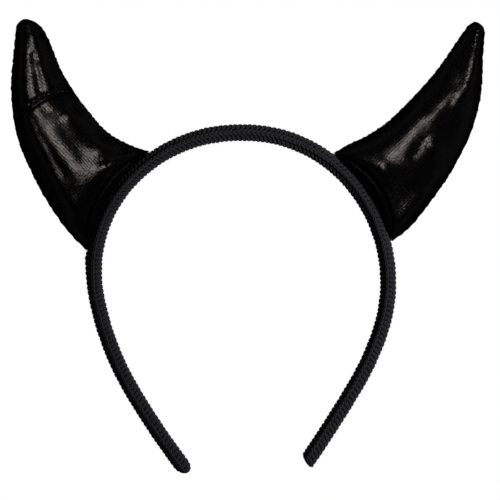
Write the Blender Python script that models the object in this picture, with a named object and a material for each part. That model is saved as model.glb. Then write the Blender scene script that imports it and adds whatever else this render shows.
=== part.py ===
"""Devil horns headband: a hoop in a knitted cover, with two stuffed horns that sit on it by their base panels.

The hoop is drawn in its own plane: x across it, y towards the crown, z over the depth of the band. It lies on its
back, as it does on a table: the tips of the legs and the backs of the horns touch the surface, and the crown is
a little higher. The origin is the middle of the box that the whole thing fills, on the surface.
"""

import math

import bmesh
import bpy
import numpy as np

MM = 0.001

# The hoop
BAND_THICK = 7.1 * MM
BAND_DEPTH = 10.0 * MM
BAND_SQUARENESS = 2.5
BAND_SIDES = 16
BAND_STEP = 4.5 * MM
CROWN_X = 0.33 * MM
CROWN_Y = 62.6 * MM
CROWN_FLAT = 2.9 * MM

# Each leg goes from the crown through tangent arcs, (radius in mm, turn in degrees), to a straight end
LEGS = {
    "left": {
        "side": -1,
        "arcs": ((65.2, 48.0), (58.8, 52.7), (128.4, 19.8), (344.0, 5.9)),
        "end_run": 8.6 * MM,
        "end_round": 5.0 * MM,
        "end_slant": -0.2,
    },
    "right": {
        "side": 1,
        "arcs": ((61.0, 45.8), (68.0, 62.6), (122.9, 12.4), (615.0, 3.4)),
        "end_run": 3.6 * MM,
        "end_round": 1.6 * MM,
        "end_slant": 0.4,
    },
}

# How the headband lies: its plane rises towards the crown, and cloth that meets the surface is flat there
REST_TILT = math.radians(2.0)

# The base panels, measured along the band from the crown and over its depth
PANEL_THICK = 1.2 * MM
PANEL_RINGS = 3
PIECE_GAP = 0.3 * MM
BASES = {
    "left": {"upper": 39.2 * MM, "lower": 89.3 * MM, "front": 10.5 * MM, "back": 8.1 * MM, "rim_lift": 1.9 * MM},
    "right": {"upper": 39.1 * MM, "lower": 84.0 * MM, "front": 10.5 * MM, "back": 8.1 * MM, "rim_lift": 3.4 * MM},
}

# The horns, as sections from the base to the tip
HORN_SIDES = 32
HORN_STATIONS = 40
SEAM_PINCH = 1.15
BASE_FADE = 32.0 * MM

# Seam at the outer edge (x, y), seam at the hollow edge (x, y), fullness to the front and to the back, in mm
SECTION_COLUMNS = ("outer_x", "outer_y", "hollow_x", "hollow_y", "front", "back")
SECTIONS = {
    "left": (
        (-76.0, 19.0, -45.6, 56.0, 12.0, 11.4),
        (-82.6, 28.0, -51.2, 58.4, 12.8, 12.2),
        (-88.2, 37.2, -56.6, 61.4, 13.0, 12.4),
        (-92.9, 46.6, -61.4, 65.4, 12.7, 12.2),
        (-97.0, 56.0, -66.0, 70.9, 12.0, 11.8),
        (-99.6, 65.6, -70.8, 76.9, 10.9, 11.2),
        (-100.9, 75.5, -75.2, 83.5, 10.2, 10.4),
        (-101.2, 85.5, -79.0, 90.0, 9.4, 9.4),
        (-100.4, 95.0, -82.0, 97.3, 8.0, 8.0),
        (-99.6, 103.0, -85.0, 104.6, 6.5, 6.5),
        (-98.9, 109.0, -88.4, 109.8, 4.9, 4.9),
        (-97.0, 112.6, -93.0, 112.7, 2.4, 2.4),
    ),
    "right": (
        (74.0, 20.6, 47.8, 57.8, 12.0, 11.4),
        (80.6, 28.4, 53.6, 60.4, 12.8, 12.2),
        (86.4, 36.2, 59.0, 63.6, 13.0, 12.4),
        (91.8, 44.0, 64.4, 67.4, 12.7, 12.2),
        (96.2, 52.0, 69.6, 72.2, 12.0, 11.8),
        (100.2, 60.0, 74.8, 77.4, 11.2, 11.2),
        (103.2, 68.6, 80.0, 83.0, 10.4, 10.4),
        (105.4, 77.8, 85.0, 88.8, 9.4, 9.4),
        (106.3, 87.2, 89.6, 95.0, 8.4, 8.4),
        (106.5, 96.0, 93.4, 100.6, 7.1, 7.1),
        (107.1, 103.4, 96.8, 105.6, 5.6, 5.6),
        (107.0, 108.4, 99.8, 109.6, 4.2, 4.2),
        (104.8, 111.2, 102.0, 111.6, 2.0, 2.0),
    ),
}

# Folds on the fronts: from (x, y) to (x, y), half width, height, in mm. A height below zero is a crease
FOLD_COLUMNS = ("start_x", "start_y", "end_x", "end_y", "width", "height")
FOLDS = {
    "left": (
        (-70.0, 80.4, -83.4, 75.4, 1.9, -1.7),
        (-83.4, 75.4, -97.0, 73.0, 1.9, -1.6),
        (-88.0, 73.0, -79.6, 59.4, 4.6, 1.0),
        (-79.6, 59.4, -68.6, 41.8, 5.2, 1.2),
        (-63.4, 55.0, -62.0, 54.0, 5.0, 0.9),
        (-71.4, 62.6, -66.4, 50.6, 3.2, -0.8),
        (-89.6, 66.4, -75.2, 30.8, 3.6, 0.7),
        (-86.8, 104.0, -85.0, 86.0, 3.0, 0.7),
    ),
    "right": (
        (50.0, 51.0, 59.0, 46.2, 4.2, 1.0),
        (59.0, 46.2, 81.0, 70.4, 4.8, 1.2),
        (81.0, 70.4, 88.6, 80.4, 4.0, 0.9),
        (97.2, 103.0, 92.0, 77.0, 3.2, 0.8),
        (76.0, 52.0, 84.0, 62.0, 3.4, -0.8),
        (83.2, 55.0, 83.6, 44.0, 3.8, 0.7),
        (62.0, 36.0, 67.4, 23.0, 4.0, 0.8),
    ),
}

MATERIALS = {
    "knit_cover": {"colour": (0.017, 0.016, 0.018), "roughness": 0.9},
    "horn_fabric": {"colour": (0.009, 0.008, 0.009), "roughness": 0.38},
}


def clear_scene():
    for old in list(bpy.data.objects):
        bpy.data.objects.remove(old, do_unlink=True)


def make_material(name):
    """A plain Principled finish from the MATERIALS table."""
    material = bpy.data.materials.new(name)
    material.use_nodes = True
    shader = material.node_tree.nodes["Principled BSDF"]
    shader.inputs["Base Color"].default_value = (*MATERIALS[name]["colour"], 1.0)
    shader.inputs["Roughness"].default_value = MATERIALS[name]["roughness"]
    shader.inputs["Metallic"].default_value = 0.0
    return material


def leg_length(leg):
    return sum(radius * MM * math.radians(turn) for radius, turn in leg["arcs"]) + leg["end_run"]


def leg_frame(leg, along):
    """The centre line's point, its direction away from the crown and the outward direction."""
    x, y, turned, left_over = CROWN_FLAT / 2, CROWN_Y, 0.0, along
    for radius, turn in leg["arcs"]:
        step = min(left_over / (radius * MM), math.radians(turn))
        x += radius * MM * (math.sin(turned + step) - math.sin(turned))
        y += radius * MM * (math.cos(turned + step) - math.cos(turned))
        turned += step
        left_over -= step * radius * MM
    x += left_over * math.cos(turned)
    y -= left_over * math.sin(turned)
    side = leg["side"]
    point = np.array((CROWN_X + side * x, y))
    direction = np.array((side * math.cos(turned), -math.sin(turned)))
    outward = np.array((side * math.sin(turned), math.cos(turned)))
    return point, direction, outward


def signed_power(value, power):
    return math.copysign(abs(value) ** power, value)


def band_ring(leg, along, size=1.0, slant=0.0):
    """One section of the hoop, a rounded rectangle, drawn at a distance along a leg."""
    point, direction, outward = leg_frame(leg, along)
    ring = []
    for i in range(BAND_SIDES):
        angle = 2 * math.pi * i / BAND_SIDES
        out = size * BAND_THICK / 2 * signed_power(math.cos(angle), 2 / BAND_SQUARENESS)
        depth = size * BAND_DEPTH / 2 * signed_power(math.sin(angle), 2 / BAND_SQUARENESS)
        flat = point + outward * out + direction * slant * out
        ring.append((flat[0], flat[1], depth))
    return ring


def leg_rings(leg):
    """The sections of one leg from the crown to its rounded or slanted end, and the end's middle point."""
    length = leg_length(leg)
    straight = length - leg["end_round"]
    count = math.ceil(straight / BAND_STEP)
    places = [(straight * i / count, 1.0) for i in range(1, count + 1)]
    for degrees in (25, 45, 62, 76):
        angle = math.radians(degrees)
        places.append((straight + leg["end_round"] * math.sin(angle), math.cos(angle)))
    slant_run = 2 * BAND_THICK
    rings = []
    for along, size in places:
        slant = leg["end_slant"] * min(1.0, max(0.0, (along - length + slant_run) / slant_run))
        rings.append(band_ring(leg, along, size, slant))
    tip, _, _ = leg_frame(leg, length)
    return rings, (tip[0], tip[1], 0.0)


def skin(name, start, rings, end, material):
    """One closed body through rings of equal count, with a point at either end."""
    mesh = bpy.data.meshes.new(name)
    body = bmesh.new()
    first = body.verts.new(start)
    last = body.verts.new(end)
    loops = [[body.verts.new(point) for point in ring] for ring in rings]
    sides = len(loops[0])
    for i in range(sides):
        j = (i + 1) % sides
        body.faces.new((first, loops[0][j], loops[0][i]))
        body.faces.new((last, loops[-1][i], loops[-1][j]))
        for near, far in zip(loops, loops[1:]):
            body.faces.new((near[i], near[j], far[j], far[i]))
    bmesh.ops.recalc_face_normals(body, faces=body.faces)
    body.to_mesh(mesh)
    body.free()
    mesh.shade_smooth()
    mesh.set_sharp_from_angle(angle=math.radians(50))
    mesh.materials.append(material)
    piece = bpy.data.objects.new(name, mesh)
    bpy.context.scene.collection.objects.link(piece)
    return piece


def build_headband(material):
    left, left_tip = leg_rings(LEGS["left"])
    right, right_tip = leg_rings(LEGS["right"])
    # The left leg is drawn mirrored, so its outward side and the right leg's run through the same ring order
    crown = [band_ring(LEGS["left"], 0.0), band_ring(LEGS["right"], 0.0)]
    rings = list(reversed(left)) + crown + right
    return skin("headband", left_tip, rings, right_tip, material)


def rest_height(headband):
    """How far the hoop's plane has to rise, at the hoop's own centre, for its lowest point to touch the surface."""
    heights = [
        corner.co.y * math.sin(REST_TILT) + corner.co.z * math.cos(REST_TILT) for corner in headband.data.vertices
    ]
    return -min(heights)


def surface_depth(y, lift):
    """The z at which a point of the hoop's frame meets the surface that it lies on."""
    return -(y * math.sin(REST_TILT) + lift) / math.cos(REST_TILT)


def base_point(name, across, over, layer):
    """A point of a base panel: across from -1 at its lower end to 1 at its upper end, over from -1 back to 1 front."""
    base = BASES[name]
    middle = (base["upper"] + base["lower"]) / 2
    half = (base["lower"] - base["upper"]) / 2
    point, _, outward = leg_frame(LEGS[name], middle - across * half)
    rise = base["rim_lift"] * (1 - min(1.0, abs(across)) ** 4) * over * over
    flat = point + outward * (BAND_THICK / 2 + layer + rise)
    return np.array((flat[0], flat[1], over * (base["front"] if over > 0 else base["back"])))


def base_ring(name, size, layer):
    ring = []
    for i in range(HORN_SIDES):
        angle = 2 * math.pi * i / HORN_SIDES
        ring.append(base_point(name, size * math.cos(angle), size * math.sin(angle), layer))
    return ring


def build_base(name, material):
    """The panel between horn and band: a curved oval of cloth that touches the band along its middle."""
    near, far = PIECE_GAP, PIECE_GAP + PANEL_THICK
    sizes = [(i + 1) / PANEL_RINGS for i in range(PANEL_RINGS)]
    rings = [base_ring(name, size, far) for size in sizes]
    rings += [base_ring(name, size, near) for size in reversed(sizes)]
    return skin(
        f"{name}_horn_base", base_point(name, 0, 0, far), rings, base_point(name, 0, 0, near), material
    )


def catmull(rows, place):
    """A smooth value between the rows of a table, at a place counted in rows."""
    i = min(int(place), len(rows) - 2)
    t = place - i
    before, here, there, after = rows[max(i - 1, 0)], rows[i], rows[i + 1], rows[min(i + 2, len(rows) - 1)]
    return 0.5 * (
        2 * here
        + (there - before) * t
        + (2 * before - 5 * here + 4 * there - after) * t**2
        + (3 * here - before - 3 * there + after) * t**3
    )


def fold_height(name, x, y):
    """How far the highest fold and the deepest crease push the front of a horn out at (x, y)."""
    heights = [0.0]
    for row in FOLDS[name]:
        fold = dict(zip(FOLD_COLUMNS, row))
        start = np.array((fold["start_x"], fold["start_y"])) * MM
        run = np.array((fold["end_x"], fold["end_y"])) * MM - start
        away = np.array((x, y)) - start
        share = min(1.0, max(0.0, away @ run / (run @ run)))
        distance = np.linalg.norm(away - share * run)
        heights.append(fold["height"] * MM * math.exp(-((distance / (fold["width"] * MM)) ** 2)))
    return max(heights) + min(heights)


def horn_rows(name):
    """The SECTIONS table in metres, with the base panel's chord as its first row."""
    face = PIECE_GAP * 2 + PANEL_THICK
    outer = base_point(name, -1, 0, face)
    hollow = base_point(name, 1, 0, face)
    base = BASES[name]
    rows = [np.array((outer[0], outer[1], hollow[0], hollow[1], base["front"], base["back"]))]
    return rows + [np.array(row) * MM for row in SECTIONS[name]]


def section_ring(row):
    """A lens between the two seams of one section, fuller at the front or the back as the row says."""
    section = dict(zip(SECTION_COLUMNS, row))
    outer = np.array((section["outer_x"], section["outer_y"]))
    hollow = np.array((section["hollow_x"], section["hollow_y"]))
    ring = []
    for i in range(HORN_SIDES):
        angle = 2 * math.pi * i / HORN_SIDES
        flat = (outer + hollow) / 2 + (hollow - outer) / 2 * math.cos(angle)
        full = section["front"] if math.sin(angle) > 0 else section["back"]
        ring.append(np.array((flat[0], flat[1], full * signed_power(math.sin(angle), SEAM_PINCH))))
    return ring


def build_horn(name, lift, material):
    """A stuffed horn from its base panel to its tip, with its folds, flat where its back lies on the surface."""
    rows = horn_rows(name)
    middles = [(row[:2] + row[2:4]) / 2 for row in rows]
    reach = np.cumsum([0.0] + [np.linalg.norm(b - a) for a, b in zip(middles, middles[1:])])
    face = PIECE_GAP * 2 + PANEL_THICK
    foot = [far - flat for far, flat in zip(base_ring(name, 1.0, face), section_ring(rows[0]))]
    rings = [base_ring(name, (i + 1) / PANEL_RINGS, face) for i in range(PANEL_RINGS)]
    for station in range(1, HORN_STATIONS + 1):
        distance = reach[-1] * station / HORN_STATIONS
        place = np.interp(distance, reach, range(len(rows)))
        left_of_base = max(0.0, 1 - distance / BASE_FADE) ** 2
        ring = []
        for i, point in enumerate(section_ring(catmull(rows, place))):
            point = point + foot[i] * left_of_base
            toward_front = max(0.0, math.sin(2 * math.pi * i / HORN_SIDES))
            point[2] += fold_height(name, point[0], point[1]) * math.sqrt(toward_front) * (1 - left_of_base)
            point[2] = max(point[2], surface_depth(point[1], lift))
            ring.append(point)
        rings.append(ring)
    tip = sum(rings[-1]) / HORN_SIDES
    return skin(f"{name}_horn", base_point(name, 0, 0, face), rings, tip, material)


def lay_down(pieces, lift):
    """Parents the pieces to one empty that tilts them into their rest pose, over the middle of their box."""
    rest = bpy.data.objects.new("rest_pose", None)
    bpy.context.scene.collection.objects.link(rest)
    rest.rotation_euler = (REST_TILT, 0, 0)
    corners = []
    for piece in pieces:
        piece.parent = rest
        for corner in piece.data.vertices:
            x, y, z = corner.co
            corners.append((x, y * math.cos(REST_TILT) - z * math.sin(REST_TILT)))
    corners = np.array(corners)
    middle = (corners.min(axis=0) + corners.max(axis=0)) / 2
    rest.location = (-middle[0], -middle[1], lift)


def main():
    clear_scene()
    knit = make_material("knit_cover")
    fabric = make_material("horn_fabric")
    headband = build_headband(knit)
    lift = rest_height(headband)
    pieces = [headband]
    for name in ("left", "right"):
        pieces.append(build_base(name, fabric))
        pieces.append(build_horn(name, lift, fabric))
    lay_down(pieces, lift)


main()
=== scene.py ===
"""Devil horns headband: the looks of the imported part, in the same frame.

The hoop is drawn in its own plane, as in the part: x across it, y towards the crown, z over the depth of
the band. Each piece is finished there and then laid down in the row frame.
"""

import math

import bpy
import numpy as np
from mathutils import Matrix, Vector


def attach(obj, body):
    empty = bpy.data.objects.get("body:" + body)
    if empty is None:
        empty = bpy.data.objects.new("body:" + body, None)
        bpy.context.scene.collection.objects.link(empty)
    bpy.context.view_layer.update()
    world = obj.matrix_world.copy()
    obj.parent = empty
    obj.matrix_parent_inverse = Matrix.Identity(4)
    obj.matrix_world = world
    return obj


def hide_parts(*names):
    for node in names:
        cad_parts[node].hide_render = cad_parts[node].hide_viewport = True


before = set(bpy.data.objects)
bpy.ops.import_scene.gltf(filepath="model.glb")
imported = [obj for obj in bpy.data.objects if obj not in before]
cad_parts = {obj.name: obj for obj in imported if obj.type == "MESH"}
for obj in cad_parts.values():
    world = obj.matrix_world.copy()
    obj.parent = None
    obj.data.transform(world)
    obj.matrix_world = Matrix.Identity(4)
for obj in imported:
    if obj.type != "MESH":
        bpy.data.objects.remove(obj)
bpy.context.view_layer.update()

bl_info = {
    "name": "Devil Horns Headband",
    "version": (1, 0, 0),
    "blender": (4, 5, 0),
    "location": "3D View > Sidebar > Headband",
    "description": "Knitted hoop cover, stuffed horns and a small studio around the packed headband",
    "category": "Object",
}

MM = 0.001

# How the hoop lies in the row frame
REST_TILT = math.radians(2.0)
HOOP_PLACE = (-3.000 * MM, -12.721 * MM, 7.894 * MM)

# The hoop, as in the part
BAND_THICK = 7.1 * MM
BAND_DEPTH = 10.0 * MM
CROWN_X = 0.33 * MM
CROWN_Y = 62.6 * MM
CROWN_FLAT = 2.9 * MM
LINE_STEP = 0.5 * MM
LINE_SPARE = 12 * MM
LEGS = {
    "left": {
        "side": -1,
        "arcs": ((65.2, 48.0), (58.8, 52.7), (128.4, 19.8), (344.0, 5.9)),
        "end_run": 8.6 * MM,
        "end_round": 5.0 * MM,
        "end_slant": -0.2,
    },
    "right": {
        "side": 1,
        "arcs": ((61.0, 45.8), (68.0, 62.6), (122.9, 12.4), (615.0, 3.4)),
        "end_run": 3.6 * MM,
        "end_round": 1.6 * MM,
        "end_slant": 0.4,
    },
}

# The band along the hoop, by place from the crown in mm: how far its front leans inward in degrees, how much
# nearer the front its outer side is than its inner side, how much sharper than an oval its front and back
# edges are, and how far its outer side bulges in mm
BAND_COLUMNS = ("place", "lean", "skew", "edge", "bulge")
BAND = (
    (-190.0, -6.0, -0.42, 0.5, 0.0),
    (-102.0, -4.0, -0.42, 0.5, 0.0),
    (-94.0, -3.0, -0.42, 0.5, 0.8),
    (-90.8, -3.0, -0.4, 0.5, 0.4),
    (-88.0, -2.0, -0.4, 0.5, 0.0),
    (-45.0, 0.0, -0.3, 0.4, 0.0),
    (-10.0, 0.0, -0.05, 0.1, 0.0),
    (30.0, 3.0, 0.1, 0.1, 0.0),
    (60.0, 4.0, 0.2, 0.5, 0.0),
    (90.0, 8.0, 0.3, 0.5, 0.0),
    (130.0, 14.0, 0.3, 0.6, 0.0),
    (190.0, 16.0, 0.3, 0.6, 0.0),
)

# The knitted cover: how pointed its section is, the points and the girth of its narrow stitches, and how deep
# the yarn and the core lie under its surface, in yarn radii
COVER_NOSE = 1.2
OUTLINE_STEPS = 720
POINTS_A_STITCH = 14
CHAIN_SHARE = 0.09
YARN_SUNK = 0.6
CORE_SUNK = 0.35
CORE_RINGS = 240
CORE_SIDES = 20

# How the courses wander along the hoop and swell
COVER_END = 0.5 * MM
COURSE_WANDER = 0.22 * MM
WANDER_LENGTH = 7.3 * MM
COURSE_SWELL = 0.03
SWELL_LENGTH = 11 * MM

# The loose hairs: rings and sides of each, the hoop's ends without any, shortest and longest of them before
# the bias towards short ones, how much they rise, lean and curl for their length, how much thinner their tips
# are, and the cover's girth
HAIR_RINGS = 3
HAIR_SIDES = 3
HAIRLESS_END = 4 * MM
HAIR_SPREAD = (0.35, 1.3)
HAIR_BIAS = 1.5
HAIR_RISE = 0.8
HAIR_LEAN = 0.8
HAIR_CURL = 0.5
HAIR_THINNING = 0.75
COVER_GIRTH = 28 * MM

# Wandering lines: how much shorter and lower each octave is, and the pitch of its second wave
OCTAVE_PITCH = 1.7
OCTAVE_HEIGHT = 0.7
SECOND_WAVE = 0.618

# The base panels, as in the part but 1.5 mm less deep at the front: their thickness, the gap to the
# neighbours, how much nearer to the hoop they lie at their ends, those ends along the hoop from the crown's
# flat, their reach to front and back, how far their front rim stands off the hoop, and where the horn's foot
# on them is highest
PANEL_THICK = 1.2 * MM
PIECE_GAP = 0.3 * MM
HORN_FACE = PIECE_GAP * 2 + PANEL_THICK
END_TUCK = 0.8
BASES = {
    "left": {
        "upper": 39.2 * MM,
        "lower": 89.3 * MM,
        "front": 9.0 * MM,
        "back": 8.1 * MM,
        "rim_lift": 1.9 * MM,
        "crest": 0.0,
    },
    "right": {
        "upper": 39.1 * MM,
        "lower": 84.0 * MM,
        "front": 9.0 * MM,
        "back": 8.1 * MM,
        "rim_lift": 3.4 * MM,
        "crest": 0.4,
    },
}

# Their mesh: rings, sides, where the rim's rounding starts and the share of the rings on it, and how much
# deeper than in the part they reach towards the hoop, so that no gap shows between the yarn's ribs
PANEL_RINGS = 24
PANEL_SIDES = 96
RIM_START = 0.9
RIM_RINGS = 0.25
PANEL_SUNK = 4 * PIECE_GAP

# The horns: how sharp their seams are, how far the foot's form and the calm round it reach, the share of the
# rings on the foot, and the rounding of the tip
SEAM_PINCH = {"left": 2.0, "right": 1.5}
BASE_FADE = 32.0 * MM
FOLD_FADE = 5.0 * MM
FOOT_SHARE = 0.05
TIP_ROUND = 2.2 * MM

# Their sections from foot to tip: seam at the outer edge (x, y), seam at the hollow edge (x, y), fullness to
# front and back, all in mm, and where the front is highest, from -1 at the outer seam to 1 at the hollow one
SECTIONS = {
    "left": (
        (-76.0, 19.0, -45.6, 56.0, 12.0, 11.4, -0.04),
        (-82.6, 28.0, -51.2, 58.4, 12.8, 12.2, -0.08),
        (-88.2, 37.2, -56.6, 61.4, 13.0, 12.4, -0.11),
        (-92.9, 46.6, -61.4, 65.4, 12.7, 12.2, -0.18),
        (-97.0, 56.0, -66.0, 70.9, 12.0, 11.8, -0.23),
        (-99.6, 65.6, -70.8, 76.9, 10.9, 11.2, -0.28),
        (-100.9, 75.5, -75.2, 83.5, 10.2, 10.4, -0.3),
        (-101.2, 85.5, -79.0, 90.0, 9.4, 9.4, -0.24),
        (-100.4, 95.0, -82.0, 97.3, 8.0, 8.0, -0.2),
        (-99.6, 103.0, -85.0, 104.6, 6.5, 6.5, -0.1),
        (-98.9, 109.0, -88.4, 109.8, 4.9, 4.9, 0.0),
        (-97.0, 112.6, -93.0, 112.7, 2.4, 2.4, 0.0),
    ),
    "right": (
        (74.0, 20.6, 47.8, 57.8, 12.0, 11.4, 0.32),
        (80.6, 28.4, 53.6, 60.4, 12.8, 12.2, 0.24),
        (86.4, 36.2, 59.0, 63.6, 13.0, 12.4, 0.21),
        (91.8, 44.0, 64.4, 67.4, 12.7, 12.2, 0.26),
        (96.2, 52.0, 69.6, 72.2, 12.0, 11.8, 0.26),
        (100.2, 60.0, 74.8, 77.4, 11.2, 11.2, 0.17),
        (103.2, 68.6, 80.0, 83.0, 10.4, 10.4, 0.05),
        (105.4, 77.8, 85.0, 88.8, 9.4, 9.4, -0.2),
        (106.3, 87.2, 89.6, 95.0, 8.4, 8.4, -0.32),
        (106.5, 96.0, 93.4, 100.6, 7.1, 7.1, -0.33),
        (107.1, 103.4, 96.8, 105.6, 5.6, 5.6, -0.33),
        (107.0, 108.4, 99.8, 109.6, 4.2, 4.2, -0.3),
        (104.8, 111.2, 102.0, 111.6, 2.0, 2.0, 0.0),
    ),
}

# Ridges and hollows on the fronts: from (x, y) to (x, y), half width, height, in mm. Where some overlap, the
# highest counts most
FOLD_BLEND = 4
FOLD_COLUMNS = ("start_x", "start_y", "end_x", "end_y", "width", "height")
FOLDS = {
    "left": (
        (-90.0, 104.0, -86.9, 91.0, 2.4, 0.6),
        (-86.9, 91.0, -82.6, 82.8, 3.0, 1.1),
        (-90.2, 96.0, -87.4, 80.0, 1.7, -0.6),
        (-92.4, 66.0, -87.3, 55.2, 3.4, 0.75),
        (-87.3, 55.2, -81.4, 43.0, 3.4, 0.9),
        (-81.4, 43.0, -74.0, 30.0, 3.4, 1.3),
        (-74.2, 70.2, -73.8, 69.4, 3.8, 1.9),
        (-60.8, 56.6, -60.4, 55.8, 4.2, 2.0),
        (-60.0, 46.6, -59.6, 46.0, 2.6, 0.9),
        (-56.0, 48.2, -50.6, 50.4, 3.4, 2.4),
        (-53.4, 46.7, -43.0, 53.4, 1.0, 1.8),
        (-90.4, 68.0, -86.6, 60.0, 1.6, -0.4),
        (-86.6, 60.0, -77.0, 44.0, 2.2, -0.6),
        (-76.5, 62.5, -68.5, 51.0, 3.2, -0.55),
        (-86.6, 74.2, -84.4, 71.0, 2.4, -0.5),
        (-77.4, 83.0, -76.6, 81.2, 2.6, 1.8),
    ),
    "right": (
        (49.0, 49.6, 60.0, 45.0, 5.0, 2.2),
        (68.0, 42.0, 72.0, 36.0, 4.0, -1.0),
        (104.0, 107.0, 102.0, 96.0, 2.8, 0.8),
        (102.0, 96.0, 98.4, 82.2, 3.4, 1.2),
        (84.0, 69.2, 92.2, 79.0, 3.6, 0.8),
        (98.6, 82.6, 94.0, 74.4, 3.4, 1.3),
        (83.6, 55.8, 84.4, 54.8, 3.4, 1.4),
        (79.6, 58.6, 74.6, 52.0, 2.4, -0.7),
        (83.8, 42.0, 84.4, 41.0, 2.8, 1.0),
        (58.8, 41.6, 66.6, 25.4, 2.2, 0.9),
        (68.4, 22.6, 79.0, 32.4, 3.8, 1.9),
    ),
}

# The tuck across the left horn: its line in mm, the depth, width and edge of its groove, the height, place
# and width of its lip, and the gathers along the lip
TUCK_LINES = {
    "left": ((-70.4, 79.5), (-79.6, 79.2), (-86.4, 77.0), (-91.0, 73.6), (-97.0, 70.4)),
    "right": (),
}
TUCK_DEPTH = 1.7 * MM
TUCK_WIDTH = 1.3 * MM
TUCK_EDGE = 0.12 * MM
TUCK_LIP = 0.9 * MM
LIP_PLACE = 0.9 * MM
LIP_WIDTH = 0.9 * MM
GATHER_PITCH = 1.9 * MM
GATHER_SHARE = 0.3

# Small wrinkles: wavelength in mm, direction in degrees, share of the full height, how far each is turned by
# chance, how much and over what length it bends and fades, and how much closer the back's are
WRINKLES = (
    (9.0, 20.0, 1.0),
    (6.1, 75.0, 0.6),
    (4.3, -35.0, 0.45),
    (12.5, 110.0, 0.9),
    (3.1, 5.0, 0.25),
)
WRINKLE_TURN = 12
WRINKLE_BEND = 0.35
BEND_LENGTH = 14 * MM
FADE_LENGTH = 21 * MM
BACK_STRETCH = 1.3

# The gathers along the seams: how near a seam they are, and their pitch at the outer and the hollow one
SEAM_REACH = 0.05
OUTER_GATHERS = 3.7 * MM
HOLLOW_GATHERS = 3.1 * MM

# The mix node's sockets for colours
MIX_ONE = 6
MIX_OTHER = 7
MIX_RESULT = 2

# The stage, in metres, and the camera's sensor in mm
WHITE = (1.0, 1.0, 1.0, 1.0)
FLOOR_WIDTH = 6.0
LIGHT_TARGET = Vector((0, 0, 0.01))
VIEW_REACH = 20.0
SENSOR_WIDTH = 36.0


def leg_length(leg):
    return sum(radius * MM * math.radians(turn) for radius, turn in leg["arcs"]) + leg["end_run"]


def leg_frame(leg, along):
    """The centre line's point and its outward direction, so far along from the crown's flat."""
    x, y, turned, left_over = CROWN_FLAT / 2, CROWN_Y, 0.0, along
    for radius, turn in leg["arcs"]:
        step = min(left_over / (radius * MM), math.radians(turn))
        x += radius * MM * (math.sin(turned + step) - math.sin(turned))
        y += radius * MM * (math.cos(turned + step) - math.cos(turned))
        turned += step
        left_over -= step * radius * MM
    x += left_over * math.cos(turned)
    y -= left_over * math.sin(turned)
    side = leg["side"]
    point = np.array((CROWN_X + side * x, y))
    outward = np.array((side * math.sin(turned), math.cos(turned)))
    return point, outward


def hoop_line():
    """The centre line in short steps: place from the crown, x, y and the outward direction's angle."""
    rows = []
    for leg in LEGS.values():
        reach = leg_length(leg) + LINE_SPARE
        count = math.ceil(reach / LINE_STEP)
        for i in range(count + 1):
            point, outward = leg_frame(leg, reach * i / count)
            place = leg["side"] * (reach * i / count + CROWN_FLAT / 2)
            rows.append((place, point[0], point[1], math.atan2(outward[0], outward[1])))
    return np.array(sorted(rows)).T


HOOP_LINE = hoop_line()


def dome_start(leg):
    return leg_length(leg) + CROWN_FLAT / 2 - leg["end_round"]


def dome_arc(leg):
    """How far it is over the rounded end, from where it starts to the tip."""
    return math.pi / 2 * math.hypot(leg["end_round"], BAND_THICK / 2) / math.sqrt(2)


def hoop_end(name):
    """The tip's place, measured from the crown along the hoop's surface."""
    leg = LEGS[name]
    return leg["side"] * (dome_start(leg) + dome_arc(leg))


def on_hoop(place, out, depth):
    """Points at places along the hoop's surface, so far out from its centre line and over its depth."""
    shifted = place.copy()
    size = np.ones(len(place))
    for leg in LEGS.values():
        beyond = place * leg["side"] - dome_start(leg)
        turn = np.clip(beyond / dome_arc(leg), 0, 1) * math.pi / 2
        sunk = np.maximum(0, beyond) - leg["end_round"] * np.sin(turn)
        size = size * np.cos(turn)
        ramp = np.clip(1 + (beyond - sunk - leg["end_round"]) / (2 * BAND_THICK), 0, 1)
        shifted += leg["side"] * (leg["end_slant"] * ramp * out * np.cos(turn) - sunk)
    angle = np.interp(shifted, HOOP_LINE[0], HOOP_LINE[3])
    x = np.interp(shifted, HOOP_LINE[0], HOOP_LINE[1]) + np.sin(angle) * out * size
    y = np.interp(shifted, HOOP_LINE[0], HOOP_LINE[2]) + np.cos(angle) * out * size
    return np.stack((x, y, depth * size), axis=1)


def on_band(place, out, depth):
    """The same on the covered band, whose section changes along the hoop as BAND says."""
    table = dict(zip(BAND_COLUMNS, np.array(BAND).T))
    lean, skew, edge, bulge = (np.interp(place / MM, table["place"], table[key]) for key in BAND_COLUMNS[1:])
    out = out * np.clip(1 - (depth / (BAND_DEPTH / 2)) ** 2, 0.1, 1) ** (edge / 2)
    out = np.where(out > 0, out * (1 + bulge * MM / (BAND_THICK / 2)), out)
    depth = depth + skew * out
    cos, sin = np.cos(np.radians(lean)), np.sin(np.radians(lean))
    points = on_hoop(place, out * cos - depth * sin, out * sin + depth * cos)
    points[:, 2] = np.maximum(points[:, 2], surface_depth(points[:, 1]))
    return points


def to_row(points):
    """From the hoop's own frame to the row frame."""
    x, y, z = points.T
    cos, sin = math.cos(REST_TILT), math.sin(REST_TILT)
    return np.stack(
        (x + HOOP_PLACE[0], y * cos - z * sin + HOOP_PLACE[1], y * sin + z * cos + HOOP_PLACE[2]), axis=1
    )


def surface_depth(y):
    """The hoop frame's z at which a point meets the surface that the headband lies on."""
    return -(y * math.sin(REST_TILT) + HOOP_PLACE[2]) / math.cos(REST_TILT)


def power(values, exponent):
    """A power that keeps the values' signs."""
    return np.sign(values) * np.abs(values) ** exponent


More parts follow.
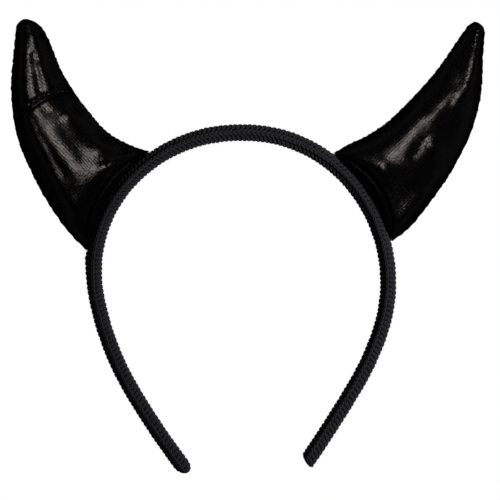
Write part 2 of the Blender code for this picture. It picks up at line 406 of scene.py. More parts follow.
def smooth_noise(seed, values, wavelength, octaves=3):
    """A smooth wandering line between about -1 and 1 over the given values."""
    dice = np.random.default_rng(seed)
    total = np.zeros(len(values))
    for octave in range(octaves):
        turns = values / wavelength * OCTAVE_PITCH**octave
        total += np.sin(2 * math.pi * (turns + dice.random())) * OCTAVE_HEIGHT**octave
        total += np.sin(2 * math.pi * (turns * SECOND_WAVE + dice.random())) * OCTAVE_HEIGHT**octave
    return total / (2 * sum(OCTAVE_HEIGHT**octave for octave in range(octaves)))


class Socket:
    """A shader node's output that takes part in sums written as Python expressions."""

    def __init__(self, graph, output):
        self.graph = graph
        self.output = output

    def maths(self, operation, *others):
        node = self.graph.tree.nodes.new("ShaderNodeMath")
        node.operation = operation
        for i, value in enumerate((self, *others)):
            self.graph.put(node.inputs[i], value)
        return Socket(self.graph, node.outputs[0])

    def __add__(self, other):
        return self.maths("ADD", other)

    def __radd__(self, other):
        return self.maths("ADD", other)

    def __sub__(self, other):
        return self.maths("SUBTRACT", other)

    def __rsub__(self, other):
        return (self * -1) + other

    def __mul__(self, other):
        return self.maths("MULTIPLY", other)

    def __truediv__(self, other):
        return self.maths("DIVIDE", other)

    def sine(self):
        return self.maths("SINE")

    def clamp(self):
        return self.maths("MAXIMUM", 0.0).maths("MINIMUM", 1.0)


class Graph:
    """A shader node tree under construction."""

    def __init__(self, tree):
        self.tree = tree

    def put(self, slot, value):
        if isinstance(value, Socket):
            self.tree.links.new(value.output, slot)
        else:
            slot.default_value = value

    def node(self, kind, output=0, **values):
        """A node's output, with values or sockets for the node's inputs, named in lower case."""
        node = self.tree.nodes.new(kind)
        for slot in node.inputs:
            key = slot.name.lower().replace(" ", "_")
            if key in values and slot.enabled:
                self.put(slot, values[key])
        return Socket(self, node.outputs[output])

    def surface(self, **values):
        """Values or sockets for the Principled shader."""
        for slot in self.tree.nodes["Principled BSDF"].inputs:
            key = slot.name.lower().replace(" ", "_")
            if key in values:
                self.put(slot, values[key])

    def axes(self, coordinates):
        split = self.node("ShaderNodeSeparateXYZ", vector=coordinates).output.node
        return [Socket(self, split.outputs[i]) for i in range(3)]

    def noise(self, place, scale, detail=2.0):
        return self.node("ShaderNodeTexNoise", vector=place, scale=scale, detail=detail)

    def mix(self, factor, one, other):
        """A colour between two others."""
        node = self.tree.nodes.new("ShaderNodeMix")
        node.data_type = "RGBA"
        self.put(node.inputs[0], factor)
        self.put(node.inputs[MIX_ONE], one)
        self.put(node.inputs[MIX_OTHER], other)
        return Socket(self, node.outputs[MIX_RESULT])

    def bump(self, height, strength, distance):
        return self.node("ShaderNodeBump", strength=strength, distance=distance, height=height)


def new_material(name):
    material = bpy.data.materials.new(name)
    material.use_nodes = True
    return material, Graph(material.node_tree)


def knit_material(settings):
    """Matte black yarn of twisted plies, with fluff and faint patches."""
    material, graph = new_material("knit_yarn")
    place = graph.node("ShaderNodeTexCoord", output="Object")
    along, around, _ = graph.axes(graph.node("ShaderNodeTexCoord", output="UV"))
    plies = ((along * settings.ply_turns + around * 3.0) * (2 * math.pi)).sine()
    fluff = graph.noise(place, scale=2600.0, detail=3.0)
    patches = graph.noise(place, scale=70.0)
    dark = [0.55 * channel for channel in settings.colour]
    colour = graph.mix(patches * 0.6 + fluff * 0.4, (*dark, 1.0), (*settings.colour, 1.0))
    graph.surface(
        base_color=colour,
        roughness=0.88,
        specular_ior_level=0.25,
        sheen_weight=settings.sheen,
        sheen_roughness=0.5,
        normal=graph.bump(plies * 0.5 + fluff, strength=0.7, distance=0.12 * MM),
    )
    return material


def core_painted_shade_material():
    """The hoop inside the cover, near black and darker than the yarn: painted shade for the gaps between the
    courses.
    """
    material, graph = new_material("hoop_core")
    # Near black, darker than the yarn: painted shade in the gaps between the courses
    graph.surface(base_color=(0.002, 0.002, 0.002, 1.0), roughness=1.0, specular_ior_level=0.05)
    return material


def horn_material(settings, name, gloss):
    """Glossy black cloth with a foil face: a fine diagonal weave, worn and speckled."""
    material, graph = new_material(name)
    place = graph.node("ShaderNodeTexCoord", output="Object")
    x, y, z = graph.axes(place)
    wander = graph.noise(place, scale=90.0) * 1.2
    turns = (y - x.maths("ABSOLUTE") + z * 0.5) / (settings.weave_pitch * math.sqrt(2))
    twill = ((turns + wander) * (2 * math.pi)).sine()
    grain = graph.noise(place, scale=1100.0, detail=2.5)
    wear = graph.noise(place, scale=160.0, detail=3.0)
    height = twill * 0.3 + grain * 2.4
    rough = settings.roughness + (wear - 0.5) * 0.25 + (grain - 0.5) * 0.2
    dark = [0.5 * channel for channel in settings.colour]
    tint = graph.mix(wear, (*settings.colour, 1.0), (*dark, 1.0))
    graph.surface(
        base_color=tint,
        roughness=rough.clamp(),
        specular_ior_level=gloss,
        specular_tint=(1.0, 0.93, 0.88, 1.0),
        normal=graph.bump(height, strength=settings.weave_strength, distance=0.1 * MM),
    )
    return material


def deselect():
    for other in list(bpy.context.selected_objects):
        other.select_set(False)


def select_only(piece):
    deselect()
    piece.select_set(True)
    bpy.context.view_layer.objects.active = piece


def coordinates(piece):
    values = np.zeros(len(piece.data.vertices) * 3)
    piece.data.vertices.foreach_get("co", values)
    return values.reshape(-1, 3)


def ball(name, sides, rings):
    """A ball whose rings become the sections of a piece, with each point's ring number and angle."""
    deselect()
    bpy.ops.mesh.primitive_uv_sphere_add(segments=sides, ring_count=rings, radius=1.0)
    piece = bpy.context.object
    piece.name = name
    piece.data.name = name
    points = coordinates(piece)
    ring = np.rint(np.arccos(np.clip(points[:, 2], -1, 1)) / math.pi * rings).astype(int)
    return piece, ring, np.arctan2(points[:, 1], points[:, 0])


def finish_mesh(piece, points, material):
    """Gives a piece its points in the row frame, outward normals, smooth shading and its material."""
    piece.data.vertices.foreach_set("co", to_row(points).ravel())
    piece.data.update()
    select_only(piece)
    bpy.ops.object.mode_set(mode="EDIT")
    bpy.ops.mesh.select_all(action="SELECT")
    bpy.ops.mesh.normals_make_consistent(inside=False)
    bpy.ops.object.mode_set(mode="OBJECT")
    bpy.ops.object.shade_smooth()
    piece.data.materials.clear()
    piece.data.materials.append(material)


def cover_outline():
    """The cover's section by equal steps of its girth from the front: out, depth and the outward normal."""
    angle = np.linspace(0, 2 * math.pi, OUTLINE_STEPS + 1)
    out = (BAND_THICK / 2) * power(np.sin(angle), COVER_NOSE)
    depth = (BAND_DEPTH / 2) * np.cos(angle)
    girth = np.concatenate(([0.0], np.cumsum(np.hypot(np.diff(out), np.diff(depth)))))
    share = np.linspace(0, 1, OUTLINE_STEPS + 1)
    out = np.interp(share, girth / girth[-1], out)
    depth = np.interp(share, girth / girth[-1], depth)
    normal_out = -np.gradient(depth)
    normal_depth = np.gradient(out)
    length = np.hypot(normal_out, normal_depth)
    return share, out, depth, normal_out / length, normal_depth / length


def around_cover(share, lift):
    """Out and depth of points at a share of the girth, lifted off the cover's middle surface."""
    shares, outs, depths, normal_outs, normal_depths = cover_outline()
    turn = share % 1.0
    out = np.interp(turn, shares, outs) + np.interp(turn, shares, normal_outs) * lift
    depth = np.interp(turn, shares, depths) + np.interp(turn, shares, normal_depths) * lift
    return out, depth


def knit_course(settings):
    """One course as a closed loop of yarn: a narrow stitch on the front and on the back, a rib between."""
    count = 4 * POINTS_A_STITCH
    turn = np.arange(count) / POINTS_A_STITCH
    narrow = (turn % 2 < 1).astype(float)
    sway = settings.loop_lean * narrow * np.sin(4 * math.pi * turn)
    along = -settings.loop_reach * np.cos(2 * math.pi * turn)
    lift = -settings.loop_depth * np.cos(4 * math.pi * turn) - settings.yarn_radius * YARN_SUNK
    half = CHAIN_SHARE / 2
    edges = (-half, half, 0.5 - half, 0.5 + half, 1 - half)
    share = np.interp(turn + sway, range(5), edges)
    out, depth = around_cover(share, lift)
    curve = bpy.data.curves.new("knit_cover", "CURVE")
    curve.dimensions = "3D"
    curve.bevel_depth = settings.yarn_radius
    curve.bevel_resolution = 2
    spline = curve.splines.new("POLY")
    spline.points.add(count - 1)
    points = np.stack((along, out, depth, np.ones(count)), axis=1)
    spline.points.foreach_set("co", points.ravel())
    swell = 1 + (settings.rib_swell - 1) * (1 - narrow) * np.abs(np.sin(math.pi * turn)) ** 0.5
    spline.points.foreach_set("radius", swell)
    spline.use_cyclic_u = True
    course = bpy.data.objects.new("knit_cover", curve)
    bpy.context.scene.collection.objects.link(course)
    select_only(course)
    bpy.ops.object.convert(target="MESH")
    course = bpy.context.object
    course.scale.x = settings.rib_width
    bpy.ops.object.transform_apply(location=False, rotation=False, scale=True)
    return course


def build_cover(settings):
    """The courses in a row, laid along the hoop."""
    start, end = hoop_end("left") + COVER_END, hoop_end("right") - COVER_END
    count = round((end - start) / settings.course_pitch)
    cover = knit_course(settings)
    repeat = cover.modifiers.new("courses", "ARRAY")
    repeat.use_relative_offset = False
    repeat.use_constant_offset = True
    repeat.constant_offset_displace = ((end - start) / count, 0, 0)
    repeat.count = count + 1
    select_only(cover)
    bpy.ops.object.modifier_apply(modifier="courses")
    x, out, depth = coordinates(cover).T
    place = x + start
    angle = np.arctan2(out, depth)
    place = place + COURSE_WANDER * smooth_noise(5, place + angle * 1.9 * MM, WANDER_LENGTH)
    swell = 1 + COURSE_SWELL * smooth_noise(8, place + 2.3 * MM * np.sin(angle), SWELL_LENGTH)
    points = on_band(place, out * swell, depth * swell)
    finish_mesh(cover, points, knit_material(settings))
    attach(cover, "root")
    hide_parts("headband")
    return cover


def build_core(settings):
    """The hoop inside the cover; its near-black colour is painted shade where the gaps between the courses
    show it.
    """
    core, ring, angle = ball("hoop_core", CORE_SIDES, CORE_RINGS)
    share = (1 - np.cos(math.pi * ring / CORE_RINGS)) / 2
    inset = settings.yarn_radius * CORE_SUNK
    start, end = hoop_end("left"), hoop_end("right")
    pole = (ring == 0) | (ring == CORE_RINGS)
    out = np.where(pole, 0.0, (BAND_THICK / 2 - inset) * power(np.sin(angle), COVER_NOSE))
    depth = np.where(pole, 0.0, (BAND_DEPTH / 2 - inset) * np.cos(angle))
    points = on_band(start + (end - start) * share, out, depth)
    finish_mesh(core, points, core_painted_shade_material())
    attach(core, "root")


def hair_points(settings):
    """Points of short bent hairs that stand on the cover, hair after hair and ring after ring."""
    dice = np.random.default_rng(11)
    count = settings.hairs
    start, end = hoop_end("left") + HAIRLESS_END, hoop_end("right") - HAIRLESS_END
    place = dice.uniform(start, end, count)
    share = dice.random(count)
    length = settings.hair_length * dice.uniform(*HAIR_SPREAD, count) ** HAIR_BIAS
    lean_along = dice.normal(0, HAIR_LEAN, count) * length
    lean_round = dice.normal(0, HAIR_LEAN, count) * length
    curl = dice.normal(0, HAIR_CURL, count) * length
    points = []
    for ring in range(HAIR_RINGS):
        t = ring / (HAIR_RINGS - 1)
        radius = settings.hair_radius * (1 - HAIR_THINNING * t)
        for side in range(HAIR_SIDES):
            angle = 2 * math.pi * side / HAIR_SIDES
            along = place + lean_along * t + curl * t * t + radius * math.cos(angle)
            turn = share + (lean_round * t - curl * t * (1 - t) + radius * math.sin(angle)) / COVER_GIRTH
            out, depth = around_cover(turn, length * HAIR_RISE * t)
            points.append(on_band(along, out, depth))
    return np.stack(points, axis=1).reshape(-1, 3)


def hair_faces(count):
    """The faces of so many hairs, each a thin spike with a cap on its tip."""
    stride = HAIR_RINGS * HAIR_SIDES
    pattern = []
    for ring in range(HAIR_RINGS - 1):
        for side in range(HAIR_SIDES):
            a = ring * HAIR_SIDES + side
            b = ring * HAIR_SIDES + (side + 1) % HAIR_SIDES
            pattern.append((a, b, b + HAIR_SIDES, a + HAIR_SIDES))
    pattern.append(tuple(range(stride - HAIR_SIDES, stride)))
    return [tuple(i + hair * stride for i in face) for hair in range(count) for face in pattern]


def build_hairs(settings, material):
    """The fuzz of the yarn."""
    points = hair_points(settings)
    mesh = bpy.data.meshes.new("knit_fuzz")
    mesh.from_pydata(points.tolist(), [], hair_faces(settings.hairs))
    fuzz = bpy.data.objects.new("knit_fuzz", mesh)
    bpy.context.scene.collection.objects.link(fuzz)
    finish_mesh(fuzz, points, material)
    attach(fuzz, "root")


def base_points(name, across, over, layer):
    """Points of a base panel, by shares from -1 to 1: across to its upper end and over to its front."""
    base = BASES[name]
    leg = LEGS[name]
    middle = (base["upper"] + base["lower"]) / 2
    half = (base["lower"] - base["upper"]) / 2
    place = leg["side"] * (middle - across * half + CROWN_FLAT / 2)
    rise = base["rim_lift"] * (1 - np.minimum(1.0, np.abs(across)) ** 4) * over * over
    layer = layer * (1 - END_TUCK * np.minimum(1.0, np.abs(across)) ** 6)
    depth = over * np.where(over > 0, base["front"], base["back"])
    return on_hoop(place, BAND_THICK / 2 + layer + rise, depth)


def catmull(rows, place):
    """A smooth value between the rows of a table, at a place counted in rows."""
    i = min(int(place), len(rows) - 2)
    t = place - i
    here, there = rows[i], rows[i + 1]
    before, after = rows[max(i - 1, 0)], rows[min(i + 2, len(rows) - 1)]
    return 0.5 * (
        2 * here
        + (there - before) * t
        + (2 * before - 5 * here + 4 * there - after) * t**2
        + (3 * here - before - 3 * there + after) * t**3
    )


def horn_rows(name):
    """The SECTIONS table in metres, with the base panel's chord as its first row."""
    outer, hollow = base_points(name, np.array((-1.0, 1.0)), np.zeros(2), np.full(2, HORN_FACE))
    base = BASES[name]
    first = np.array((outer[0], outer[1], hollow[0], hollow[1], base["front"], base["back"], base["crest"]))
    return [first] + [np.append(np.array(row[:-1]) * MM, row[-1]) for row in SECTIONS[name]]


def section_points(name, row, angle):
    """A lens between the two seams of one section, highest at the crest."""
    outer, hollow, front, back, crest = row[0:2], row[2:4], row[4], row[5], row[6]
    across = np.cos(angle)
    flat = (outer + hollow) / 2 + np.outer(across, (hollow - outer) / 2)
    from_crest = (across - crest) / (1 - crest * np.sign(across - crest))
    lens = np.clip(1 - from_crest**2, 0, 1) ** (SEAM_PINCH[name] / 2)
    return np.column_stack((flat, np.where(np.sin(angle) > 0, front, -back) * lens))


def nearest(points, start, end):
    """How far points are from a line, and their side of it: 1 on its left and -1 on its right."""
    run = end - start
    away = points - start
    share = np.clip(away @ run / (run @ run), 0, 1)
    distance = np.linalg.norm(away - share[:, None] * run, axis=1)
    return distance, np.sign(run[0] * away[:, 1] - run[1] * away[:, 0])


def fold_height(name, points):
    """How far the folds push the front of a horn out."""
    ridges = np.zeros(len(points))
    hollows = np.zeros(len(points))
    for row in FOLDS[name]:
        fold = dict(zip(FOLD_COLUMNS, row))
        start = np.array((fold["start_x"], fold["start_y"])) * MM
        end = np.array((fold["end_x"], fold["end_y"])) * MM
        distance, _ = nearest(points, start, end)
        height = fold["height"] * np.exp(-((distance / (fold["width"] * MM)) ** 2))
        if fold["height"] > 0:
            ridges += height**FOLD_BLEND
        else:
            hollows += np.abs(height) ** FOLD_BLEND
    return (ridges ** (1 / FOLD_BLEND) - hollows ** (1 / FOLD_BLEND)) * MM


def tuck_height(name, points):
    """The tuck: the cloth beyond the line rolls over a groove, with a thin lip along the roll."""
    line = np.array(TUCK_LINES[name]) * MM
    best = np.full(len(points), 1.0)
    side = np.ones(len(points))
    for start, end in zip(line, line[1:]):
        distance, left = nearest(points, start, end)
        closer = distance < best
        best = np.where(closer, distance, best)
        side = np.where(closer, left, side)
    before = best * side
    groove = -TUCK_DEPTH * np.exp(-((before / TUCK_WIDTH) ** 2)) / (1 + np.exp(-before / TUCK_EDGE))
    lip = TUCK_LIP * np.exp(-(((before + LIP_PLACE) / LIP_WIDTH) ** 2))
    lip = lip * (1 + GATHER_SHARE * np.sin(2 * math.pi * points[:, 0] / GATHER_PITCH))
    return groove + lip


def wrinkle_height(name, points, reach):
    """Small wrinkles of stuffed cloth, as crossing waves that wander."""
    seed = 3 if name == "left" else 4
    dice = np.random.default_rng(seed)
    total = np.zeros(len(points))
    for wavelength, degrees, share in WRINKLES:
        angle = math.radians(degrees + dice.uniform(-WRINKLE_TURN, WRINKLE_TURN))
        across = points[:, 0] * math.cos(angle) + points[:, 1] * math.sin(angle)
        along = points[:, 1] * math.cos(angle) - points[:, 0] * math.sin(angle)
        bend = WRINKLE_BEND * wavelength * MM * smooth_noise(seed + int(degrees) + 90, along, BEND_LENGTH, 2)
        slanting = along * 0.8 + across * 0.6
        fade = 0.5 + 0.5 * smooth_noise(seed + int(degrees) + 290, slanting, FADE_LENGTH, 2)
        total += share * fade * np.sin(2 * math.pi * (across + bend) / (wavelength * MM) + dice.uniform(0, 6))
    return total * reach


def pucker(distance, angle, reach):
    """How far the gathers along the two seams stand out."""
    near_seam = np.exp(-(1 - np.abs(np.cos(angle))) / SEAM_REACH)
    place = np.full(len(angle), distance)
    at_hollow = smooth_noise(7, place, HOLLOW_GATHERS)
    at_outer = smooth_noise(9, place, OUTER_GATHERS)
    return reach * near_seam * np.where(np.cos(angle) > 0, at_hollow, at_outer)


def horn_level(name, settings, rows, reach, distance, turn):
    """A horn's surface at a distance from its foot, by angle round it, with folds, wrinkles and gathers."""
    row = catmull(rows, float(np.interp(distance, reach, range(len(rows)))))
    foot = base_points(name, np.cos(turn), np.sin(turn), HORN_FACE) - section_points(name, rows[0], turn)
    left_of_base = max(0.0, 1 - distance / BASE_FADE) ** 2
    level = section_points(name, row, turn) + foot * left_of_base
    over = min(1.0, max(0.0, 1 - (reach[-1] - distance) / TIP_ROUND))
    middle = level.mean(axis=0)
    level = middle + (level - middle) * math.sqrt(1 - over * over)
    flat = level[:, :2]
    on_front = np.sin(turn) > 0
    stretch = np.where(on_front, 1, BACK_STRETCH)[:, None]
    height = wrinkle_height(name, flat * stretch, settings.wrinkle_height)
    front = fold_height(name, flat) + tuck_height(name, flat)
    calm = (1 - max(0.0, 1 - distance / FOLD_FADE) ** 2) * (1 - over)
    rise = (height + np.where(on_front, front, 0)) * np.sqrt(np.abs(np.sin(turn))) * calm
    level[:, 2] += np.where(on_front, rise, -rise)
    across = (row[2:4] - row[0:2]) / np.linalg.norm(row[2:4] - row[0:2])
    out = pucker(distance, turn, settings.pucker_height) * np.sign(np.cos(turn)) * calm
    level[:, :2] += np.outer(out, across)
    level[:, 2] = np.maximum(level[:, 2], surface_depth(level[:, 1]))
    return level


def build_horn(name, settings, material):
    """A stuffed horn from its foot on the base panel to its tip."""
    rings, sides = settings.rings, settings.sides
    horn, ring, angle = ball(f"{name}_horn_cloth", sides, rings)
    angle = -angle if name == "right" else angle
    rows = horn_rows(name)
    middles = [(row[:2] + row[2:4]) / 2 for row in rows]
    reach = np.cumsum([0.0] + [np.linalg.norm(b - a) for a, b in zip(middles, middles[1:])])
    points = np.zeros((len(ring), 3))
    for i in range(rings + 1):
        here = ring == i
        turn = angle[here]
        share = i / rings
        if share < FOOT_SHARE:
            size = share / FOOT_SHARE
            points[here] = base_points(name, size * np.cos(turn), size * np.sin(turn), HORN_FACE)
        else:
            distance = reach[-1] * (share - FOOT_SHARE) / (1 - FOOT_SHARE)
            points[here] = horn_level(name, settings, rows, reach, distance, turn)
    finish_mesh(horn, points, material)
    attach(horn, "root")
    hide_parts(f"{name}_horn")


def build_base(name, material):
    """The oval panel between a horn and the hoop."""
    panel, ring, angle = ball(f"{name}_base_panel", PANEL_SIDES, PANEL_RINGS)
    share = ring / PANEL_RINGS
    size = np.clip(1 - np.abs(2 * share - 1), 0, 1) * (RIM_START + RIM_RINGS)
    rim = np.clip((size - RIM_START) / RIM_RINGS, 0, 1)
    half = PANEL_THICK / 2 * np.sqrt(np.clip(1 - rim**2, 0, 1))
    layer = PIECE_GAP + PANEL_THICK / 2 + np.where(share < 0.5, half, -half - PANEL_SUNK)
    size = np.minimum(size, RIM_START) + rim * (1 - RIM_START)
    points = base_points(name, size * np.cos(angle), size * np.sin(angle), layer)
    finish_mesh(panel, points, material)
    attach(panel, "root")
    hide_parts(f"{name}_horn_base")
    base = BASES[name]
    length = base["lower"] - base["upper"] + 2 * PANEL_THICK
    width = base["front"] + base["back"] + 2 * PANEL_THICK
    math.pi / 4 * width * length


def add_light(lamp):
    """A soft light that looks at the headband's middle, from so far, turned from +X and so high."""
    turn, height = math.radians(lamp["turn"]), math.radians(lamp["height"])
    level = math.cos(height)
    away = Vector((math.cos(turn) * level, math.sin(turn) * level, math.sin(height)))
    place = LIGHT_TARGET + away * lamp["far"]
    light = bpy.data.lights.new(lamp["name"], "AREA")
    light.shape = "RECTANGLE"
    light.size, light.size_y = lamp["size"]
    light.energy = lamp["power"]
    light.color = lamp["colour"]
    stand = bpy.data.objects.new(lamp["name"], light)
    bpy.context.scene.collection.objects.link(stand)
    stand.location = place
    stand.rotation_euler = (LIGHT_TARGET - place).to_track_quat("-Z", "Y").to_euler()
    stand.visible_camera = False
    for kind, shown in lamp["seen"].items():
        setattr(stand, f"visible_{kind}", shown)


def build_floor():
    """The pale floor, which gives no light to the pieces."""
    deselect()
    bpy.ops.mesh.primitive_plane_add(size=FLOOR_WIDTH, location=(0, 0, 0))
    floor = bpy.context.object
    floor.name = "floor"
    material, graph = new_material("pale_floor")
    graph.surface(base_color=(0.0, 0.0, 0.0, 1.0), roughness=1.0, specular_ior_level=0.0)
    graph.surface(emission_color=WHITE, emission_strength=1.0)
    floor.data.materials.append(material)
    floor.visible_diffuse = False
    floor.visible_glossy = False


def build_world(settings):
    """White as a background, and a glow round the horizon for the foil to mirror."""
    world = bpy.data.worlds.new("studio")
    bpy.context.scene.world = world
    world.use_nodes = True
    graph = Graph(world.node_tree)
    _, _, level = graph.axes(graph.node("ShaderNodeTexCoord", output="Generated"))
    glow = (1 - (level - settings.glow_level).maths("ABSOLUTE") / settings.glow_reach).clamp() * settings.glow
    background = world.node_tree.nodes["Background"]
    seen = graph.node("ShaderNodeLightPath", output="Is Camera Ray")
    graph.put(background.inputs["Color"], WHITE)
    graph.put(background.inputs["Strength"], glow.maths("MAXIMUM", seen))
    world.cycles_visibility.diffuse = False


def build_camera(settings):
    """The camera straight above the hoop's own plane."""
    camera_data = bpy.data.cameras.new("camera")
    camera_data.sensor_width = SENSOR_WIDTH
    camera_data.lens = SENSOR_WIDTH * settings.camera_distance / settings.frame_width
    camera_data.clip_end = VIEW_REACH
    camera = bpy.data.objects.new("camera", camera_data)
    bpy.context.scene.collection.objects.link(camera)
    centre = to_row(np.array([[settings.centre_x, settings.centre_y, 0.0]]))[0]
    back = np.array((0, -math.sin(REST_TILT), math.cos(REST_TILT)))
    camera.location = centre + back * settings.camera_distance
    camera.rotation_euler = (REST_TILT, 0, 0)
    bpy.context.scene.camera = camera
    bpy.context.scene.view_settings.view_transform = "Standard"


class HeadbandKnit(bpy.types.PropertyGroup):
    """Sizes and colour of the knitted cover."""

    course_pitch: bpy.props.FloatProperty(
        name="Course Pitch", description="From one course to the next", default=2.07 * MM, subtype="DISTANCE"
    )
    yarn_radius: bpy.props.FloatProperty(
        name="Yarn Radius", description="Half the yarn's thickness", default=0.52 * MM, subtype="DISTANCE"
    )
    rib_swell: bpy.props.FloatProperty(
        name="Rib Swell", description="How much thicker the yarn is in a rib than in the chain", default=1.2
    )
    rib_width: bpy.props.FloatProperty(
        name="Rib Width", description="How much wider than high the yarn lies in a rib", default=1.4
    )
    loop_reach: bpy.props.FloatProperty(
        name="Loop Reach", description="Half the height of a stitch", default=0.64 * MM, subtype="DISTANCE"
    )
    loop_lean: bpy.props.FloatProperty(
        name="Loop Lean", description="How far a stitch spreads, in stitch widths", default=0.23
    )
    loop_depth: bpy.props.FloatProperty(
        name="Loop Depth",
        description="How far the yarn goes in and out",
        default=0.35 * MM,
        subtype="DISTANCE",
    )
    ply_turns: bpy.props.FloatProperty(
        name="Ply Turns", description="Turns of the plies in one course", default=26.0
    )
    sheen: bpy.props.FloatProperty(name="Sheen", description="Soft light caught by the fluff", default=0.05)
    hairs: bpy.props.IntProperty(name="Hairs", description="Loose hairs on the cover", default=2600, min=0)
    hair_length: bpy.props.FloatProperty(
        name="Hair Length", description="Usual length of a hair", default=1.3 * MM, subtype="DISTANCE"
    )
    hair_radius: bpy.props.FloatProperty(
        name="Hair Radius", description="Half a hair's thickness", default=0.035 * MM, subtype="DISTANCE"
    )
    colour: bpy.props.FloatVectorProperty(
        name="Colour",
        description="The yarn's colour",
        default=(0.0092, 0.0082, 0.0104),
        subtype="COLOR",
        size=3,
    )


class HeadbandHorns(bpy.types.PropertyGroup):
    """Sizes, colour and finish of the horns' cloth."""

    rings: bpy.props.IntProperty(name="Rings", description="Sections along a horn", default=320, min=40)
    sides: bpy.props.IntProperty(name="Sides", description="Points round a section", default=168, min=24)
    wrinkle_height: bpy.props.FloatProperty(
        name="Wrinkles", description="Height of the small wrinkles", default=0.04 * MM, subtype="DISTANCE"
    )
    pucker_height: bpy.props.FloatProperty(
        name="Puckers",
        description="Height of the gathers along the seams",
        default=0.3 * MM,
        subtype="DISTANCE",
    )
    fill: bpy.props.FloatProperty(name="Fill", description="How tightly the horns are stuffed", default=0.85)
    weave_pitch: bpy.props.FloatProperty(
        name="Weave Pitch",
        description="From one line of the weave to the next",
        default=0.95 * MM,
        subtype="DISTANCE",
    )
    weave_strength: bpy.props.FloatProperty(
        name="Weave", description="Strength of the weave's relief", default=0.55
    )
    roughness: bpy.props.FloatProperty(
        name="Roughness", description="Roughness of the foil face", default=0.27
    )
    gloss: bpy.props.FloatProperty(name="Gloss", description="Strength of the foil's shine", default=0.8)
    colour: bpy.props.FloatVectorProperty(
        name="Colour",
        description="The cloth's colour",
        default=(0.0006, 0.0005, 0.0006),
        subtype="COLOR",
        size=3,
    )


class HeadbandStage(bpy.types.PropertyGroup):
    """The camera and the lights."""

    camera_distance: bpy.props.FloatProperty(
        name="Camera Distance", description="From the camera to the hoop", default=0.8, subtype="DISTANCE"
    )
    frame_width: bpy.props.FloatProperty(
        name="Frame Width",
        description="What the picture shows across the hoop",
        default=0.22,
        subtype="DISTANCE",
    )
    centre_x: bpy.props.FloatProperty(
        name="Centre X",
        description="Where the picture's middle lies on the hoop",
        default=3.96 * MM,
        subtype="DISTANCE",
    )
    centre_y: bpy.props.FloatProperty(
        name="Centre Y",
        description="Where the picture's middle lies on the hoop",
        default=11.0 * MM,
        subtype="DISTANCE",
    )
    key_power: bpy.props.FloatProperty(
        name="Key", description="Power of the side light", default=6.8, subtype="POWER"
    )
    glow: bpy.props.FloatProperty(
        name="Glow", description="Brightness that the foil mirrors level round it", default=0.1
    )
    glow_level: bpy.props.FloatProperty(
        name="Glow Level", description="Sine of the glow's height", default=0.02
    )
    glow_reach: bpy.props.FloatProperty(
        name="Glow Reach", description="How far the glow fades up and down", default=0.15
    )
    sheen_power: bpy.props.FloatProperty(
        name="Sheen Panel",
        description="Power of the panel that the foil mirrors",
        default=1.55,
        subtype="POWER",
    )

    def lights(self):
        """Every light: where it stands, its size and power, and what it doesn't show in."""
        white = (1.0, 1.0, 1.0)
        warm = (1.0, 0.97, 0.94)
        return (
            {
                "name": "side_light",
                "turn": 6.0,
                "height": 44.0,
                "far": 0.5,
                "size": (0.12, 0.12),
                "power": self.key_power,
                "colour": white,
                "seen": {"glossy": False},
            },
            {
                "name": "back_light",
                "turn": 215.0,
                "height": 12.0,
                "far": 0.5,
                "size": (0.3, 0.15),
                "power": self.key_power * 0.08,
                "colour": white,
                "seen": {"glossy": False},
            },
            {
                "name": "sheen_panel",
                "turn": 98.0,
                "height": 72.0,
                "far": 0.9,
                "size": (0.14, 0.45),
                "power": self.sheen_power,
                "colour": warm,
                "seen": {"diffuse": False},
            },
        )


class HEADBAND_OT_knit_cover(bpy.types.Operator):
    """Knits the cover along the hoop, over a near-black core that paints shade in its gaps, and under a
    little fuzz
    """

    bl_idname = "headband.knit_cover"
    bl_label = "Knit Cover"

    def execute(self, context):
        settings = context.scene.headband_knit
        build_core(settings)
        cover = build_cover(settings)
        build_hairs(settings, cover.data.materials[0])
        return {"FINISHED"}


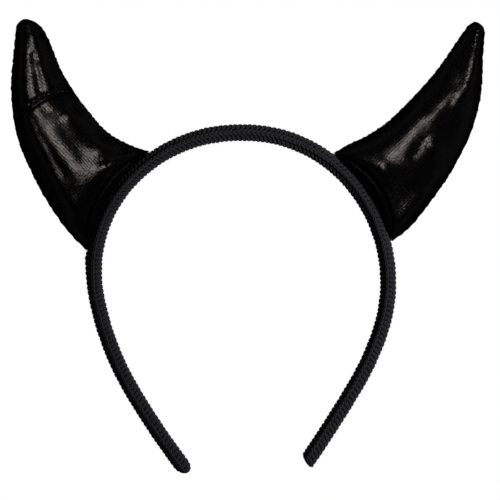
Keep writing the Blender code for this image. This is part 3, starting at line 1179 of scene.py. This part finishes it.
class HEADBAND_OT_horns(bpy.types.Operator):
    """Builds both horns in their stuffed shape"""

    bl_idname = "headband.horns"
    bl_label = "Horns"

    def execute(self, context):
        settings = context.scene.headband_horns
        material = horn_material(settings, "foil_cloth", settings.gloss)
        for name in LEGS:
            build_horn(name, settings, material)
        return {"FINISHED"}


class HEADBAND_OT_bases(bpy.types.Operator):
    """Cuts the oval panels under the horns"""

    bl_idname = "headband.bases"
    bl_label = "Base Panels"

    def execute(self, context):
        settings = context.scene.headband_horns
        # The same foil cloth with a tenth of its shine, a shaded copy: the panels stay dark as painted shade
        # under the horns' feet
        material = horn_material(settings, "turned_in_cloth", settings.gloss / 10)
        for name in LEGS:
            build_base(name, material)
        return {"FINISHED"}


class HEADBAND_OT_stage(bpy.types.Operator):
    """Sets up the floor, the lights and the camera"""

    bl_idname = "headband.stage"
    bl_label = "Stage"

    def execute(self, context):
        settings = context.scene.headband_stage
        build_floor()
        build_world(settings)
        for lamp in settings.lights():
            add_light(lamp)
        build_camera(settings)
        return {"FINISHED"}


class HEADBAND_PT_panel(bpy.types.Panel):
    """Lists the pieces of the headband"""

    bl_label = "Headband"
    bl_space_type = "VIEW_3D"
    bl_region_type = "UI"
    bl_category = "Headband"

    def draw(self, context):
        for operator in OPERATORS:
            self.layout.operator(operator.bl_idname)
        for name in GROUPS:
            group = getattr(context.scene, name)
            box = self.layout.box()
            for key in group.__annotations__:
                box.prop(group, key)


GROUPS = {"headband_knit": HeadbandKnit, "headband_horns": HeadbandHorns, "headband_stage": HeadbandStage}
OPERATORS = (HEADBAND_OT_knit_cover, HEADBAND_OT_horns, HEADBAND_OT_bases, HEADBAND_OT_stage)


def register():
    for group in GROUPS.values():
        bpy.utils.register_class(group)
    for name, group in GROUPS.items():
        setattr(bpy.types.Scene, name, bpy.props.PointerProperty(type=group))
    for operator in OPERATORS:
        bpy.utils.register_class(operator)
    bpy.utils.register_class(HEADBAND_PT_panel)


def unregister():
    bpy.utils.unregister_class(HEADBAND_PT_panel)
    for operator in reversed(OPERATORS):
        bpy.utils.unregister_class(operator)
    for name in GROUPS:
        delattr(bpy.types.Scene, name)
    for group in GROUPS.values():
        bpy.utils.unregister_class(group)


def main():
    register()
    bpy.ops.headband.knit_cover()
    bpy.ops.headband.horns()
    bpy.ops.headband.bases()
    bpy.ops.headband.stage()


if __name__ == "__main__":
    main()
